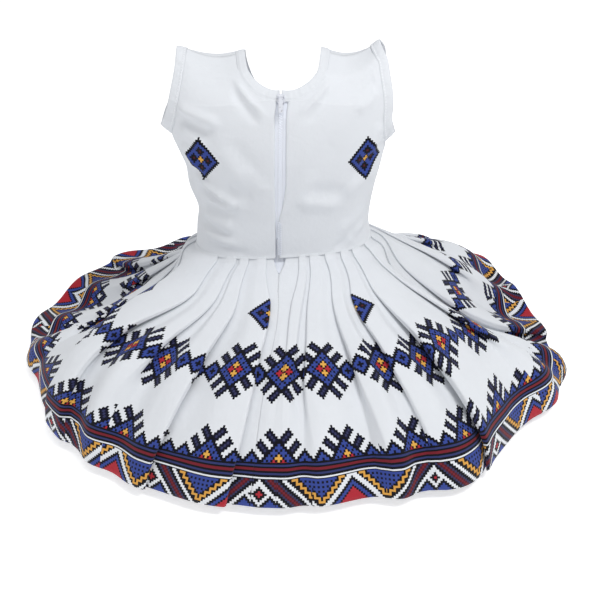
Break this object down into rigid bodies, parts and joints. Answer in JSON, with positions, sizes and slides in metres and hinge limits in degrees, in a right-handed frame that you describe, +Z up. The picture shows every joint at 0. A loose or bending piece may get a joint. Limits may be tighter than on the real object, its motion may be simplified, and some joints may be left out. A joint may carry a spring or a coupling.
{
  "type": "toddler's summer dress",
  "caption": "Sleeveless toddler's cotton dress filled out as worn: plain bodice with banded neck and armholes, back zip with a hinged pull tab, and a full pleated skirt with a printed border.",
  "frame": {"origin": "in the middle between the two shoulders, at their height, where the wearer's shoulders hold the dress up", "axes": "+Z up, +Y towards the wearer's front, +X towards the wearer's right-hand side as seen from behind"},
  "size_m": [0.6293, 0.5915, 0.3688],
  "materials": {
    "white_cotton": "matt plain-woven white cotton",
    "printed_cotton": "matt white cotton with a geometric border print in blue, black, red and yellow",
    "white_band": "matt folded and topstitched white cotton binding",
    "zip_tape": "matt woven tape",
    "zip_plastic": "white moulded plastic",
    "white_metal": "white enamel"
  },
  "bodies": {
    "dress": {"bodice_front": "white_cotton", "bodice_back_left": "white_cotton", "bodice_back_right": "white_cotton", "skirt_front": "printed_cotton", "skirt_back_left": "printed_cotton", "skirt_back_right": "printed_cotton", "neck_band": "white_band", "armhole_band_left": "white_band", "armhole_band_right": "white_band", "zip_tape_left": "zip_tape", "zip_tape_right": "zip_tape", "zip_chain": "zip_plastic", "zip_slider": "white_metal"},
    "pull_tab": {"zip_pull_tab": "white_metal"}
  },
  "joints": [
    {"name": "pull_tab_hinge", "type": "hinge", "parent": "dress", "child": "pull_tab", "pos_m": [-0.00161, -0.06114, -0.03019], "axis": [-1, 0, 0], "range_deg": [0, 150]}
  ]
}
